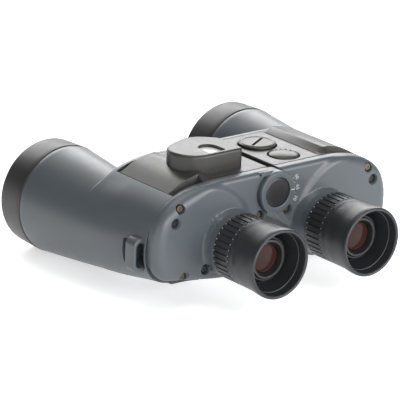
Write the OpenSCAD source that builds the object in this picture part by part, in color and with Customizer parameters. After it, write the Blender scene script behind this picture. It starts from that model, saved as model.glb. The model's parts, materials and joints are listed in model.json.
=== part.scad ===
// Marine binoculars with a built-in compass, individual-focus eyepieces and
// two halves that turn about a centre hinge.
// X runs to the user's right, Y from the eyepieces to the objectives, Z up.
// The origin is under the middle of the object, at the height of its lowest point.

/* [Layout] */
// Length from the eyecup rims to the hood fronts
overall_length = 170; // [160:1:185]
// Distance between the two eyepiece axes in the pose that is modelled
eye_spacing = 65; // [63:0.5:68]
// Distance between the two objective axes
objective_spacing = 129.6; // [126:0.2:134]
// Height of the hinge axis above the objective axes
hinge_rise = 23.2; // [22:0.1:25]
// Height of the eyepiece axes above the objective axes
eye_rise = 0.7; // [0:0.1:2]

/* [Housing] */
// Distance from the middle plane to the widest point of the prism housing
housing_reach = 82.8; // [80:0.2:86]
// Height of the top of the housing above the objective axes
housing_top = 35.6; // [35:0.1:38]
// Depth of the underside below the objective axes
housing_belly = 17.3; // [16:0.1:19]
// Length of the housing behind the front shoulder
housing_length = 54; // [52:1:58]
// Wall of the housing castings
wall = 2.5; // [2:0.1:3]
// Radius of the housing around each eyepiece axis
eye_boss_r = 21; // [20:0.5:22]

/* [Rear covers] */
// Depth of a rear cover
cover_depth = 8.6; // [7:0.2:10]
// Rounding of the rear edge of a cover
cover_round = 5; // [3:0.5:6]
// Radius of the raised round field of a cover
field_r = 30; // [28:0.5:32]
// How much lower the cover is beside the hinge
field_step = 2; // [1:0.2:3]
// Radius of a screw recess
recess_r = 2.7; // [2.4:0.1:3]

/* [Barrels] */
// Barrel radius where it meets the hood
barrel_r = 31.1; // [30:0.1:33]
// Barrel radius at the front shoulder of the housing
barrel_mid_r = 26.4; // [25.5:0.1:28]
// Barrel radius where it fades out at the rear cover
barrel_rear_r = 17.6; // [17:0.1:18]
// Wall of a barrel
barrel_wall = 2.6; // [2:0.1:3]
// Length of a hood
hood_length = 19.3; // [15:0.1:24]
// Outer radius of a hood at its seam
hood_r = 31.3; // [31:0.1:34]
// Outer radius of a hood at its front
hood_front_r = 30.7; // [30:0.1:32]
// Inner radius of a hood
hood_bore_r = 28.2; // [27.6:0.1:29]

/* [Objectives] */
// Radius of the objective lens
objective_r = 25.4; // [24:0.1:25.8]
// Outer radius of the objective cell
cell_r = 27; // [26.6:0.1:27.4]
// Length of the objective cell
cell_length = 15; // [12:1:18]

/* [Prisms] */
// Width of a prism
prism_width = 20; // [16:0.5:21]
// Thickness of the shelf that holds the prisms
shelf_t = 3; // [2:0.5:4]
// Thickness of a prism clip
clip_t = 0.6; // [0.4:0.1:1]

/* [Eyepieces] */
// Length of an eyepiece from the cover to the rim
eyepiece_length = 43.4; // [40:0.2:46]
// Radius of the fixed flange
flange_r = 18; // [17:0.1:19]
// Length of the fixed flange
flange_length = 9; // [7:0.5:9.5]
// Outer radius of the fixed threaded tube
tube_r = 14; // [13.6:0.1:14.4]
// Bore radius of the fixed threaded tube
tube_bore_r = 12.6; // [12.2:0.1:12.8]
// Radius of the grip band on the focus ring
grip_r = 18.8; // [18.4:0.1:20]
// Length of the focus ring
grip_length = 16.6; // [14:0.2:18]
// Number of grooves around the grip band
groove_count = 36; // [24:2:48]
// Depth of a groove
groove_depth = 0.5; // [0.3:0.1:0.8]
// Outer radius of the eyecup rim
rim_r = 19.8; // [19.2:0.1:21]
// Inner radius of the eyecup rim
rim_bore_r = 18; // [17:0.1:18.4]
// Radius of the eye lens
eye_lens_r = 8.4; // [8:0.1:9]
// Travel of an ocular cell each way from the middle
focus_travel = 1.6; // [1:0.1:1.8]

/* [Hinge] */
// Radius of the hinge knuckles
knuckle_r = 9.5; // [9:0.1:10]
// Radius of the rear collar of the hinge
collar_r = 12.1; // [11.8:0.1:12.2]
// Radius of the black disc in the collar
end_disc_r = 8.3; // [7:0.1:9]
// Radius of the axle
axle_r = 5; // [4.5:0.1:5.5]
// Outer radius of the hinge bushes
bush_r = 6.8; // [6.4:0.1:7.2]
// Length of the middle knuckle
middle_knuckle = 21; // [16:1:26]
// Core radius of the tripod thread in the axle
tripod_r = 2.6; // [2.4:0.1:2.8]
// Depth of the tripod thread
tripod_depth = 10; // [7:1:14]

/* [Deck] */
// Thickness of a deck plate
deck_t = 2; // [1.5:0.1:2.5]
// Distance from the middle plane to the outer edge of a deck plate
deck_edge = 66; // [64:0.5:68]
// Length of a deck plate
deck_length = 50.5; // [48:0.5:52]
// Height of the raised saddle
saddle_rise = 2.8; // [1:0.1:4]

/* [Compass] */
// Height of the compass housing above the deck
compass_h = 11; // [10:0.5:14]
// Clearance around the compass card in its capsule
card_gap = 1.2; // [0.6:0.1:2]
// Radius of the liquid capsule
capsule_r = 10; // [9:0.1:10.4]

/* [Light] */
// Radius of the battery cap
cap_r = 10.6; // [10:0.1:11.4]
// Radius of the light button
button_r = 8.4; // [7:0.1:9]
// Travel of the light button
button_travel = 1.2; // [0.8:0.1:1.5]

/* [Strap lugs] */
// Thickness of a lug's outer bar
lug_bar_t = 2.1; // [1.8:0.1:2.6]
// Height of a lug
lug_height = 19.5; // [18:0.5:22]
// Length of a lug along the strap's way
lug_length = 8; // [7:0.5:11]
// Clear depth of the strap slot
slot_depth = 4.3; // [4.2:0.1:4.6]

/* [Hidden] */

$fn = 96;
hull_fn = 32;
LEFT = -1;
RIGHT = 1;
fit = 0.05;        // radial clearance of a running fit
gap = 0.3;         // clearance between pieces that pass each other
eps = 0.01;        // overshoot of a cut

// Places along Y
y_rim = -overall_length / 2;
y_face = y_rim + eyepiece_length;
y_seam = y_face + cover_depth;
y_shoulder = y_seam + housing_length;
y_front = overall_length / 2;
y_hood = y_front - hood_length;

// Axes seen from behind
objective_x = objective_spacing / 2;
axis_z = max(hood_r, hood_front_r);
eye_x = eye_spacing / 2;
eye_z = axis_z + eye_rise;
hinge_z = axis_z + hinge_rise;
deck_z = axis_z + housing_top;

// Colours
paint_grey = [0.42, 0.45, 0.47];
hood_black = [0.2, 0.2, 0.21];
deck_black = [0.24, 0.24, 0.25];
rubber_black = [0.13, 0.14, 0.16];
metal_dark = [0.3, 0.31, 0.33];
steel = [0.7, 0.7, 0.72];
brass = [0.62, 0.5, 0.3];
bronze = [0.66, 0.48, 0.28];
lens_coat = [0.5, 0.2, 0.18, 0.6];
prism_glass = [0.75, 0.85, 0.88, 0.5];
diffuser_white = [0.95, 0.95, 0.93];

// ---------------------------------------------------------------- helpers

// Mirrors a right-hand shape to the left side when it is asked for
module on_side(side) {
  mirror([side == LEFT ? 1 : 0, 0, 0]) children();
}

// A flat shape in x and height above the objective axes, run from y0 to y1
module run_y(y0, y1) {
  translate([0, y1, axis_z])
    rotate([90, 0, 0])
      linear_extrude(y1 - y0) children();
}

// A profile of [radius, y] points turned about an axis along Y
module spin_y(x, z, profile) {
  translate([x, 0, z])
    rotate([-90, 0, 0])
      rotate_extrude() polygon(profile);
}

// A plain round rod or disc along Y
module rod_y(x, z, y0, y1, r) {
  translate([x, y0, z])
    rotate([-90, 0, 0]) cylinder(h = y1 - y0, r = r);
}

// A round tube along Y
module tube_y(x, z, y0, y1, r_out, r_in) {
  spin_y(x, z, [[r_in, y0], [r_out, y0], [r_out, y1], [r_in, y1]]);
}

// A point of the smooth curve through the points p, t of the way after point i
function bend(p, i, t) =
  let (a = p[max(i - 1, 0)], b = p[i], c = p[i + 1], d = p[min(i + 2, len(p) - 1)])
  0.5 * (2 * b + (c - a) * t + (2 * a - 5 * b + 4 * c - d) * t * t
         + (3 * b - a - 3 * c + d) * t * t * t);

// The smooth curve through the points p, with n steps between each two
function smooth(p, n) =
  concat([for (i = [0 : len(p) - 2]) for (k = [0 : n - 1]) bend(p, i, k / n)], [p[len(p) - 1]]);

function part_of(list, first, last) = [for (i = [first : last]) list[i]];
function turned(list) = [for (i = [len(list) - 1 : -1 : 0]) list[i]];
function lowered(list, d) = [for (p = list) [p[0], p[1] - d]];
function unit(v) = v / norm(v);

// A closed outline that runs clockwise, moved inwards by d
function inset(p, d) =
  let (n = len(p))
  [for (i = [0 : n - 1])
    let (a = unit(p[i] - p[(i + n - 1) % n]), b = unit(p[(i + 1) % n] - p[i]),
         m = a + b, s = [m[1], -m[0]])
    p[i] + s * d / (1 + a * b)];

// ---------------------------------------------------------------- outlines

curve_steps = 4;
// Inner edges of the halves at the top of the hinge gap: the right half keeps
// off the middle plane so that the halves can open further
left_gap = 0.3;
right_gap = 3.9;
notch_x = 3.2;       // top of the notch between the covers
notch_top = hinge_rise - 13.9;
boss_steps = 10;

// Outer skin from the hinge gap over the top and round the side to the belly
function skin_points(side) = [
  [side == LEFT ? left_gap : right_gap, housing_top],
  [26, housing_top],
  [deck_edge - 22, housing_top - 0.2],
  [deck_edge - 10, housing_top - 1.9],
  [deck_edge, housing_top - 5.2],
  [housing_reach - 8.6, housing_top - 10.2],
  [housing_reach - 3.5, housing_top - 16],
  [housing_reach - 0.6, housing_top - 24],
  [housing_reach, housing_top - 32],
  [housing_reach - 0.9, 11.9 - housing_belly],
  [housing_reach - 3.8, 6 - housing_belly],
  [housing_reach - 9.6, 1.9 - housing_belly],
  [housing_reach - 20.8, -housing_belly],
  [eye_x + 13.5, -1.9 - housing_belly]
];
deck_points = 4;     // segments of the skin that a deck plate covers

function eye_arc() = [for (k = [0 : boss_steps])
  let (a = -86 - k * 9.4)
  [eye_x, eye_rise] + eye_boss_r * [cos(a), sin(a)]];

// The whole outline of one half, clockwise as seen from behind
function outline(side) = concat(
  smooth(skin_points(side), curve_steps), eye_arc(), [[notch_x, notch_top]]);

function deck_under(side) = lowered(
  part_of(smooth(skin_points(side), curve_steps), 0, deck_points * curve_steps), deck_t);

function deck_over(side) = smooth([
  [side == LEFT ? left_gap : right_gap, housing_top],
  [deck_edge - 30, housing_top],
  [deck_edge - 23, housing_top + saddle_rise],
  [deck_edge - 17, housing_top + saddle_rise - 0.9],
  [deck_edge - 9, housing_top + saddle_rise - 3.2],
  [deck_edge, housing_top - 5]
], curve_steps);

// ---------------------------------------------------------------- hinge places

y_collar = y_face - 0.9;
y_middle = y_seam + 19.5;
washer_t = 0.5;
y_hinge_front = y_shoulder + 3;
knuckle_clear = knuckle_r + gap;
collar_clear = collar_r + 0.5;

// ---------------------------------------------------------------- castings

// Screw places on a cover: x, height above the objective axes, and the
// direction of the rib that ties the screw's boss to the nearest wall
cover_screw_at = [
  [deck_edge + 0.8, housing_top - 10.2, 45],
  [housing_reach - 20.1, 2.9 - housing_belly, -90],
  [9.9, hinge_rise - 12.4, -140]
];
prism_screw_at = [
  [deck_edge + 4.2, housing_top - 17.7, 20],
  [eye_x + 16.1, 5.1 - housing_belly, -90]
];
screw_boss_r = 3.2;
screw_rib = [10, 3];
screw_boss_length = 12;
screw_r = 1.1;
screw_grip = 7;      // depth of a screw in the casting
screw_head_r = 2.1;
screw_head_t = 1.6;
recess_depth = 3.2;

module barrel_solid(grow, y0, y1) {
  spin_y(objective_x, axis_z, concat(
    [[0, y0]],
    [for (p = smooth([
      [barrel_rear_r, y_seam],
      [barrel_rear_r + 0.65 * (barrel_mid_r - barrel_rear_r), y_seam + 0.5 * housing_length],
      [barrel_mid_r, y_shoulder],
      [barrel_mid_r + 0.52 * (barrel_r - barrel_mid_r), (y_shoulder + y_hood) / 2],
      [barrel_r, y_hood]], curve_steps)) [p[0] + grow, min(max(p[1], y0), y1)]],
    [[0, y1]]));
}

cell_setback = 6.7; // from the hood's joint back to the front of the cell
cell_rear = y_hood - cell_setback - cell_length;

module cavity(side) {
  difference() {
    run_y(y_seam - eps, y_shoulder - wall) polygon(inset(outline(side), wall));
    rod_y(0, hinge_z, y_seam - 1, y_shoulder, knuckle_clear + wall);
    screw_bosses(y_seam - 1, y_seam + screw_boss_length);
    if (side == RIGHT) light_pocket(deck_t + wall);
  }
}

// Bosses around the cover screws, each with its rib
module screw_bosses(y0, y1) {
  run_y(y0, y1) for (at = concat(cover_screw_at, prism_screw_at))
    translate([at[0], at[1]]) {
      circle(r = screw_boss_r);
      rotate(at[2]) translate([0, -screw_rib[1] / 2]) square(screw_rib);
    }
}

// Room under the right deck for the battery and the switch
module light_pocket(depth) {
  translate([cap_x, cap_y, deck_z - depth - holder_depth])
    cylinder(h = holder_depth + depth, r = holder_r + wall);
}

module half_casting(side) {
  on_side(side) difference() {
    union() {
      run_y(y_seam, y_shoulder) polygon(outline(side));
      barrel_solid(0, y_seam, y_hood);
    }
    cavity(side);
    difference() {
      barrel_solid(-barrel_wall, y_seam - eps, y_hood + eps);
      run_y(y_seam - 1, y_shoulder - wall) difference() {
        translate([0, -3 * housing_belly]) square([2 * housing_reach, 6 * housing_belly]);
        polygon(inset(outline(side), wall));
      }
    }
    rod_y(objective_x, axis_z, cell_rear, y_hood + eps, cell_r);
    // seat of the deck plate
    run_y(y_seam - eps, y_seam + deck_length) polygon(concat(
      deck_under(side),
      [[deck_edge, 2 * housing_top], [-2, 2 * housing_top], [-2, housing_top - deck_t]]));
    // flat under the strap lug
    translate([lug_base, y_lug - 2, axis_z + lug_low + lug_bar])
      cube([20, lug_length + 7, lug_height - 2 * lug_bar]);
    translate([lug_base, y_lug, axis_z + lug_low])
      cube([20, lug_length, lug_height]);
    for (at = concat(cover_screw_at, prism_screw_at))
      rod_y(at[0], axis_z + at[1], y_seam - 1, y_seam + screw_grip, screw_r);
  }
}

module left_body() {
  color(paint_grey) difference() {
    union() {
      difference() {
        half_casting(LEFT);
        rod_y(0, hinge_z, y_middle - washer_t, y_middle + middle_knuckle + washer_t, knuckle_clear);
      }
      rod_y(0, hinge_z, y_collar, y_seam - gap, collar_r);
      rod_y(0, hinge_z, y_seam - gap - eps, y_middle - washer_t, knuckle_r);
      rod_y(0, hinge_z, y_middle + middle_knuckle + washer_t, y_hinge_front, knuckle_r);
    }
    rod_y(0, hinge_z, y_collar + 2, y_hinge_front + eps, axle_r);
    rod_y(0, hinge_z, y_collar - eps, y_collar + 2, end_disc_r);
  }
}

module right_body() {
  color(paint_grey) difference() {
    union() {
      difference() {
        half_casting(RIGHT);
        rod_y(0, hinge_z, y_seam - 1, y_middle, knuckle_clear);
        rod_y(0, hinge_z, y_middle + middle_knuckle, y_hinge_front + 1, knuckle_clear);
      }
      rod_y(0, hinge_z, y_middle, y_middle + middle_knuckle, knuckle_r);
    }
    rod_y(0, hinge_z, y_middle - eps, y_middle + middle_knuckle + eps, bush_r);
    translate([cap_x, cap_y, deck_z - holder_depth - deck_t])
      cylinder(h = holder_depth + deck_t, r = holder_r);
    translate([button_x, button_y, deck_z - deck_t - wall - eps])
      cylinder(h = wall + deck_t, r = switch_well_r);
  }
}

// ---------------------------------------------------------------- rear covers

module rear_cover(side) {
  o = outline(side);
  color(paint_grey) on_side(side) difference() {
    // the rounded rear edge, in steps that follow a quarter circle
    for (k = [0 : round_steps - 1])
      let (a = 90 * k / round_steps, b = 90 * (k + 0.5) / round_steps)
      run_y(y_face + cover_round * (1 - cos(a)), y_seam)
        polygon(inset(o, cover_round * (1 - sin(b))));
    difference() {
      run_y(y_face + field_step + wall, y_seam + eps) polygon(inset(o, cover_round));
      screw_bosses(y_face, y_seam + 1);
    }
    rod_y(0, hinge_z, y_face - 1, y_seam + 1, collar_clear);
    rod_y(eye_x, eye_z, y_face - 1, y_seam + 1, tube_r + tube_clear);
    // lower field beside the hinge
    difference() {
      run_y(y_face - 1, y_face + field_step)
        translate([0, -housing_belly]) square([field_x, 2 * housing_top]);
      spin_y(field_x, axis_z + field_rise, [
        [0, y_face - 2], [field_r, y_face - 2], [field_r, y_face],
        [field_r + 3, y_face + field_step + 0.1], [0, y_face + field_step + 0.1]]);
    }
    for (at = cover_screw_at)
      screw_way(at, at[0] < field_x / 2 ? field_step : 0);
    for (at = prism_screw_at)
      screw_way(at, 0);
  }
}
field_x = eye_x + 16;
field_rise = 2.7;
tube_clear = 1.4;
round_steps = 7;

// The recess and the hole of one screw
module screw_way(at, lower) {
  rod_y(at[0], axis_z + at[1], y_face - 1, y_face + lower + recess_depth, recess_r);
  rod_y(at[0], axis_z + at[1], y_face - 1, y_seam + 1, screw_r);
}

module screw_set(side, places, drive_w) {
  on_side(side) for (at = places) {
    lower = at[0] < field_x / 2 ? field_step : 0;
    y_floor = y_face + lower + recess_depth;
    difference() {
      union() {
        rod_y(at[0], axis_z + at[1], y_floor - screw_head_t, y_floor, screw_head_r);
        rod_y(at[0], axis_z + at[1], y_floor - eps, y_seam + screw_grip - 0.5, screw_r);
      }
      translate([at[0], y_floor - screw_head_t, axis_z + at[1]])
        cube([2 * screw_head_r - 1, 1.4, drive_w], center = true);
      translate([at[0], y_floor - screw_head_t, axis_z + at[1]])
        cube([drive_w, 1.4, 2 * screw_head_r - 1], center = true);
    }
  }
}

// ---------------------------------------------------------------- decks

module deck_plate(side) {
  color(deck_black) difference() {
    on_side(side) run_y(y_seam, y_seam + deck_length)
      polygon(concat(deck_over(side), turned(deck_under(side))));
    if (side == RIGHT) {
      translate([cap_x, cap_y, deck_z - 5]) cylinder(h = 10, r = cap_r + gap);
      translate([button_x, button_y, deck_z - 5]) cylinder(h = 10, r = button_r + gap);
    }
    if (side == LEFT) {
      translate([lamp_x, lamp_y, deck_z - 5]) cylinder(h = 10, r = lamp_r);
      translate([capsule_x, capsule_y, deck_z]) cylinder(h = 2 * saddle_rise, r = capsule_r + gap);
    }
  }
}

// ---------------------------------------------------------------- hoods and objectives

module hood(side) {
  color(hood_black) on_side(side) spin_y(objective_x, axis_z, [
    [objective_r + 0.2, y_hood - 4], [cell_r, y_hood - 4], [cell_r, y_hood],
    [hood_r, y_hood], [hood_r, y_hood + 3], [hood_front_r, y_front - 1],
    [hood_front_r - 0.8, y_front], [hood_bore_r + 0.6, y_front], [hood_bore_r, y_front - 0.8],
    [hood_bore_r, y_hood + 2], [objective_r + 0.2, y_hood + 1]]);
}

lens_edge = 7;      // thickness of the objective at its edge
lens_crown = 2.4;   // height of its front dome
ring_cover = 0.3;   // how far the retaining ring reaches over the lens

module objective_cell(side) {
  color(metal_dark) on_side(side) spin_y(objective_x, axis_z, [
    [objective_r - 1.2, cell_rear], [cell_r, cell_rear], [cell_r, cell_rear + cell_length],
    [objective_r, cell_rear + cell_length], [objective_r, cell_rear + 2],
    [objective_r - 1.2, cell_rear + 2]]);
}

module objective_lens(side) {
  y0 = cell_rear + cell_length - lens_edge;
  color(prism_glass) on_side(side) spin_y(objective_x, axis_z, concat(
    [[0, y0 + 0.8], [objective_r, y0], [objective_r, y0 + lens_edge]],
    [for (a = [90 : -10 : 0])
      [(objective_r - ring_cover - 0.1) * sin(a), y0 + lens_edge + lens_crown * cos(a)]]));
}

module retaining_ring(side) {
  color(metal_dark) on_side(side)
    tube_y(objective_x, axis_z, cell_rear + cell_length, cell_rear + cell_length + 2.6,
           cell_r, objective_r - ring_cover);
}

// ---------------------------------------------------------------- prisms

// Each prism moves the light by half its long side; two of them at 45 degrees
// carry it from the objective axis to the eyepiece axis
side_step = (objective_x - eye_x) / 2;
prism_reach = side_step * sqrt(2);
prism_lift = side_step / 2;
y_shelf = y_seam + 25;
rear_prism_x = objective_x - prism_lift;
front_prism_x = eye_x + prism_lift;

// A right-angled prism with its long face at y = 0 and its edge towards -Y
module prism_block(reach, width, trim) {
  intersection() {
    translate([0, 0, -width / 2]) linear_extrude(width)
      polygon([[-reach, 0], [reach, 0], [1, 1 - reach], [-1, 1 - reach]]);
    rotate([90, 0, 0]) translate([0, 0, -1]) cylinder(h = reach + 2, r = reach + trim);
  }
}

module rear_prism(side) {
  color(prism_glass) on_side(side)
    translate([rear_prism_x, y_shelf, axis_z + prism_lift])
      rotate([0, 45, 0]) prism_block(prism_reach, prism_width, 0.2);
}

module front_prism(side) {
  color(prism_glass) on_side(side)
    translate([front_prism_x, y_shelf + shelf_t, axis_z + prism_lift])
      rotate([0, -45, 0]) mirror([0, 1, 0]) prism_block(prism_reach, prism_width, 0.2);
}

module prism_shelf(side) {
  light_r = prism_width / 2 - 1;
  color(metal_dark) on_side(side) difference() {
    run_y(y_shelf, y_shelf + shelf_t) difference() {
      polygon(inset(outline(side), wall));
      translate([objective_x, 0]) circle(r = light_r);
      translate([eye_x, eye_rise]) circle(r = light_r);
      translate([(objective_x + eye_x) / 2, 2 * prism_lift]) circle(r = light_r);
      translate([0, hinge_rise]) circle(r = knuckle_clear + wall);
    }
    if (side == RIGHT) light_pocket(deck_t + wall);
  }
}

module clip(reach) {
  width = 6;
  foot = 2;
  difference() {
    translate([0, 0, -width / 2]) linear_extrude(width) polygon([
      [-reach + 1, 0], [reach - 1, 0], [reach - 1, -clip_t - 1],
      [1 + clip_t, -reach + 1 - clip_t], [-1 - clip_t, -reach + 1 - clip_t],
      [1 - reach, -clip_t - 1]]);
    translate([0, 0, -width]) linear_extrude(2 * width)
      polygon([[-reach, eps], [reach, eps], [reach, 0], [1, 1 - reach], [-1, 1 - reach], [-reach, 0]]);
  }
}

module prism_clips(side) {
  color(steel) on_side(side) {
    translate([rear_prism_x, y_shelf, axis_z + prism_lift])
      rotate([0, 45, 0]) clip(prism_reach);
    translate([front_prism_x, y_shelf + shelf_t, axis_z + prism_lift])
      rotate([0, -45, 0]) mirror([0, 1, 0]) clip(prism_reach);
  }
}

// ---------------------------------------------------------------- eyepieces

y_flange = y_face - flange_length + 1;
y_grip = y_flange - 0.4;
y_cup = y_grip - grip_length;
y_tube = y_cup - 1;

module eyepiece_tube(side) {
  spigot_r = tube_r + 1.4;
  color(paint_grey) on_side(side) spin_y(eye_x, eye_z, [
    [tube_bore_r, y_tube], [tube_r, y_tube], [tube_r, y_flange], [flange_r, y_flange],
    [flange_r, y_face], [spigot_r, y_face], [spigot_r, y_seam + 3], [tube_bore_r, y_seam + 3]]);
}

module focus_ring(side) {
  color(rubber_black) on_side(side) difference() {
    tube_y(eye_x, eye_z, y_cup, y_grip, grip_r, tube_r + fit);
    for (k = [0 : groove_count - 1])
      translate([eye_x, 0, eye_z]) rotate([0, k * 360 / groove_count, 0])
        translate([grip_r - groove_depth, y_cup + 1.2, -0.4])
          cube([2, grip_length - 3, 0.8]);
  }
}

module eyecup(side) {
  cup_length = y_cup - y_rim;
  neck_r = tube_r + 0.4;
  color(rubber_black) on_side(side) spin_y(eye_x, eye_z, [
    [neck_r, y_cup], [grip_r, y_cup], [grip_r + 0.3, y_cup - cup_length / 2],
    [rim_r, y_rim + 3], [rim_r, y_rim + 0.6], [rim_r - 0.6, y_rim], [rim_bore_r, y_rim],
    [rim_bore_r - 0.4, y_rim + 1], [rim_bore_r - 1, y_rim + 5], [neck_r + 0.6, y_cup - 3.2],
    [neck_r, y_cup - 2.6]]);
}

ocular_r = tube_bore_r - fit;
ocular_stand = 5.4;  // how far a cell stands into its eyecup at the middle of its travel
y_ocular = y_cup - ocular_stand - focus_travel;
ocular_length = 25.6 + ocular_stand;

module ocular_cell(side) {
  seat_r = eye_lens_r;
  color(metal_dark) on_side(side) spin_y(eye_x, eye_z, [
    [seat_r, y_ocular + 0.6], [seat_r + 1.2, y_ocular - 1.4], [seat_r + 2.4, y_ocular - 1.4],
    [seat_r + 3, y_ocular], [ocular_r, y_ocular], [ocular_r, y_ocular + ocular_length],
    [field_lens_r, y_ocular + ocular_length], [field_lens_r, y_ocular + 6],
    [seat_r, y_ocular + 6]]);
}
field_lens_r = 10.6;

module eye_lens(side) {
  t = 4;
  color(lens_coat) on_side(side) spin_y(eye_x, eye_z, concat(
    [for (a = [0 : 15 : 90]) [eye_lens_r * sin(a), y_ocular + 2 - 1.2 * cos(a)]],
    [[eye_lens_r, y_ocular + 2 + t], [0, y_ocular + 2 + t]]));
}

module field_lens(side) {
  y0 = y_ocular + ocular_length - 6;
  color(prism_glass) on_side(side) spin_y(eye_x, eye_z, concat(
    [[0, y0], [field_lens_r, y0], [field_lens_r, y0 + 3]],
    [for (a = [75 : -15 : 0]) [field_lens_r * sin(a), y0 + 3 + 1.6 * cos(a)]]));
}

module reticle() {
  color(prism_glass) on_side(LEFT)
    rod_y(eye_x, eye_z, y_seam, y_seam + 1.5, tube_bore_r);
}

// ---------------------------------------------------------------- hinge

module hinge_axle() {
  color(steel) difference() {
    rod_y(0, hinge_z, y_collar + 2, y_hinge_front, axle_r);
    rod_y(0, hinge_z, y_hinge_front - tripod_depth, y_hinge_front + eps, tripod_r);
  }
}

module hinge_bushes() {
  length = 6;
  color(bronze) {
    tube_y(0, hinge_z, y_middle, y_middle + length, bush_r, axle_r + fit);
    tube_y(0, hinge_z, y_middle + middle_knuckle - length, y_middle + middle_knuckle,
           bush_r, axle_r + fit);
  }
}

module hinge_washers() {
  color(steel) {
    tube_y(0, hinge_z, y_middle - washer_t, y_middle - 0.05, knuckle_r - 0.5, axle_r + fit);
    tube_y(0, hinge_z, y_middle + middle_knuckle + 0.05, y_middle + middle_knuckle + washer_t,
           knuckle_r - 0.5, axle_r + fit);
  }
}

module hinge_end_disc() {
  color(rubber_black) rod_y(0, hinge_z, y_collar + 0.2, y_collar + 2, end_disc_r);
}

// ---------------------------------------------------------------- compass

compass_top = deck_z + compass_h;
capsule_x = -30;
capsule_y = y_seam + 20;
capsule_h = 7.4;
capsule_wall = 1.2;
window_t = 1.2;
compass_roof = 2.2;
compass_wall = 1.6;
window_lap = 0.6;    // how far the window plate reaches past its opening
lamp_x = -16.5;
lamp_y = y_seam + 14;
lamp_r = 1.5;

// Rounded corners of the compass housing and of its window, in plan: x,
// distance from the seam, radius
housing_corners = [[-15, 10.5, 3.4], [-36, 21.6, 14.4], [-28, 23.6, 15.4], [-17, 27, 5.4]];
window_corners = [[-28.2, 18, 5.8], [-23.4, 11, 1.2], [-32.6, 11, 1.2]];

// A plan run from z0 to z1, each of its corners grown by grow
module plan(corners, z0, z1, grow) {
  hull() for (c = corners)
    translate([c[0], y_seam + c[1], z0])
      cylinder(h = z1 - z0, r = c[2] + grow, $fn = hull_fn);
}

module compass_housing() {
  color(deck_black) difference() {
    plan(housing_corners, deck_z - 6, compass_top, 0);
    plan(housing_corners, deck_z - 8, compass_top - compass_roof, -compass_wall);
    plan(window_corners, compass_top - 3, compass_top + 1, 0);
    on_side(LEFT) run_y(y_seam - 1, y_shoulder) polygon(concat(
      deck_over(LEFT), [[deck_edge, 0], [left_gap, 0]]));
  }
}

module compass_window() {
  color(diffuser_white)
    plan(window_corners, compass_top - compass_roof - window_t, compass_top - compass_roof, window_lap);
}

module compass_capsule() {
  color(prism_glass) translate([capsule_x, capsule_y, deck_z]) difference() {
    cylinder(h = capsule_h, r = capsule_r);
    translate([0, 0, 1]) cylinder(h = capsule_h - 2, r = capsule_r - capsule_wall);
  }
}

pivot_r = 0.6;
card_z = deck_z + 3.4;
card_r = capsule_r - capsule_wall - card_gap;

module compass_card() {
  color(diffuser_white) translate([capsule_x, capsule_y, card_z]) difference() {
    union() {
      cylinder(h = 0.8, r = card_r);
      cylinder(h = 1.6, r = 1.8);
    }
    translate([0, 0, -1]) cylinder(h = 2.2, r = pivot_r + fit);
  }
}

module compass_pivot() {
  color(steel) translate([capsule_x, capsule_y, deck_z + 1]) {
    cylinder(h = 3.4, r = pivot_r);
    cylinder(h = 0.8, r = 2.5);
  }
}

module compass_lamp() {
  color(diffuser_white) translate([lamp_x, lamp_y, deck_z - deck_t + 2 * eps])
    cylinder(h = deck_t + 2, r = lamp_r);
}

// ---------------------------------------------------------------- light

cap_x = 19.6;
cap_y = y_seam + 33.4;
cap_rise = 1.9;
button_x = 20.6;
button_y = y_seam + 11.6;
holder_r = 8.6;
holder_depth = 16;
cell_stack_r = 5.8;
cell_h = 5.2;
switch_well_r = 5;
cap_neck_r = 7;

module battery_cap() {
  slot_w = 1.8;
  color(deck_black) translate([cap_x, cap_y, deck_z]) difference() {
    union() {
      translate([0, 0, -deck_t + 0.3]) cylinder(h = cap_rise + deck_t - 0.3, r = cap_r);
      translate([0, 0, -deck_t - 1.6]) cylinder(h = 2, r = cap_neck_r);
    }
    rotate([0, 0, 30]) translate([-7.6, -slot_w / 2, cap_rise - 1.2])
      cube([15.2, slot_w, 3]);
    translate([0, 0, cap_rise - 0.5]) difference() {
      cylinder(h = 1, r = 9);
      translate([0, 0, -1]) cylinder(h = 3, r = 8.3);
    }
  }
}

module battery_cap_seal() {
  color(rubber_black) translate([cap_x, cap_y, deck_z - deck_t - 0.75])
    rotate_extrude() translate([cap_neck_r + 0.76, 0]) circle(r = 0.7, $fn = 24);
}

module battery_holder() {
  floor_z = deck_z - deck_t - holder_depth;
  color(rubber_black) translate([cap_x, cap_y, floor_z]) difference() {
    cylinder(h = holder_depth - 2, r = holder_r);
    translate([0, 0, 1]) cylinder(h = holder_depth, r = cell_stack_r + 0.2);
  }
}

module button_cells() {
  z0 = deck_z - deck_t - holder_depth + 1;
  color(steel) translate([cap_x, cap_y, z0]) {
    cylinder(h = cell_h, r = cell_stack_r);
    translate([0, 0, cell_h + 0.05]) cylinder(h = cell_h, r = cell_stack_r);
  }
}

module battery_spring() {
  z0 = deck_z - deck_t - holder_depth + 1 + 2 * cell_h + 0.05;
  color(brass) translate([cap_x, cap_y, z0]) difference() {
    cylinder(h = deck_z - deck_t - 1.7 - z0, r = 2.6);
    translate([0, 0, -1]) cylinder(h = 9, r = 2);
  }
}

module light_button() {
  dome = 1.6;
  edge = 0.2;
  color(deck_black) translate([button_x, button_y, deck_z]) {
    rotate_extrude() polygon(concat(
      [[0, button_travel - deck_t + 0.2], [button_r, button_travel - deck_t + 0.2]],
      [for (a = [90 : -10 : 0]) [button_r * sin(a), edge + dome * cos(a)]]));
    for (k = [0 : 3]) rotate([0, 0, 90 * k + 20])
      translate([3, 0, dome]) cylinder(h = 0.5, r = 0.5, $fn = 24);
  }
}

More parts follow.
